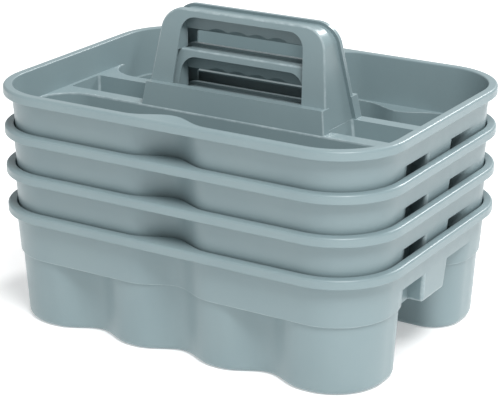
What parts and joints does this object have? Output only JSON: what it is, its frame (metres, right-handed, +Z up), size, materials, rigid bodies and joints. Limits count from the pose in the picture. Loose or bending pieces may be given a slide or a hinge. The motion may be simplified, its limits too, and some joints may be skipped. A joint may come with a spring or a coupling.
{
  "type": "cleaning caddy",
  "caption": "Stack of nested carry caddies for cleaning supplies: lobed twin bins, end pockets and an arched hand grip in each; every caddy lifts straight off.",
  "frame": {"origin": "middle of the stack's footprint, on the surface that the lowest caddy stands on", "axes": "+X along the long side, +Y from the side with the high hand opening to the back, +Z up"},
  "size_m": [0.4, 0.294, 0.285],
  "materials": {
    "moulded_plastic": "satin polypropylene with a fine moulded texture"
  },
  "bodies": {
    "caddy_1": {"front_bin_1": "moulded_plastic", "back_bin_1": "moulded_plastic", "deck_1": "moulded_plastic", "handle_1": "moulded_plastic"},
    "caddy_2": {"front_bin_2": "moulded_plastic", "back_bin_2": "moulded_plastic", "deck_2": "moulded_plastic", "handle_2": "moulded_plastic"},
    "caddy_3": {"front_bin_3": "moulded_plastic", "back_bin_3": "moulded_plastic", "deck_3": "moulded_plastic", "handle_3": "moulded_plastic"},
    "caddy_4": {"front_bin_4": "moulded_plastic", "back_bin_4": "moulded_plastic", "deck_4": "moulded_plastic", "handle_4": "moulded_plastic"}
  },
  "joints": [
    {"name": "lift_2", "type": "slide", "parent": "caddy_1", "child": "caddy_2", "axis": [0, 0, 1], "range_m": [0, 0.15]},
    {"name": "lift_3", "type": "slide", "parent": "caddy_2", "child": "caddy_3", "axis": [0, 0, 1], "range_m": [0, 0.15]},
    {"name": "lift_4", "type": "slide", "parent": "caddy_3", "child": "caddy_4", "axis": [0, 0, 1], "range_m": [0, 0.15]}
  ]
}
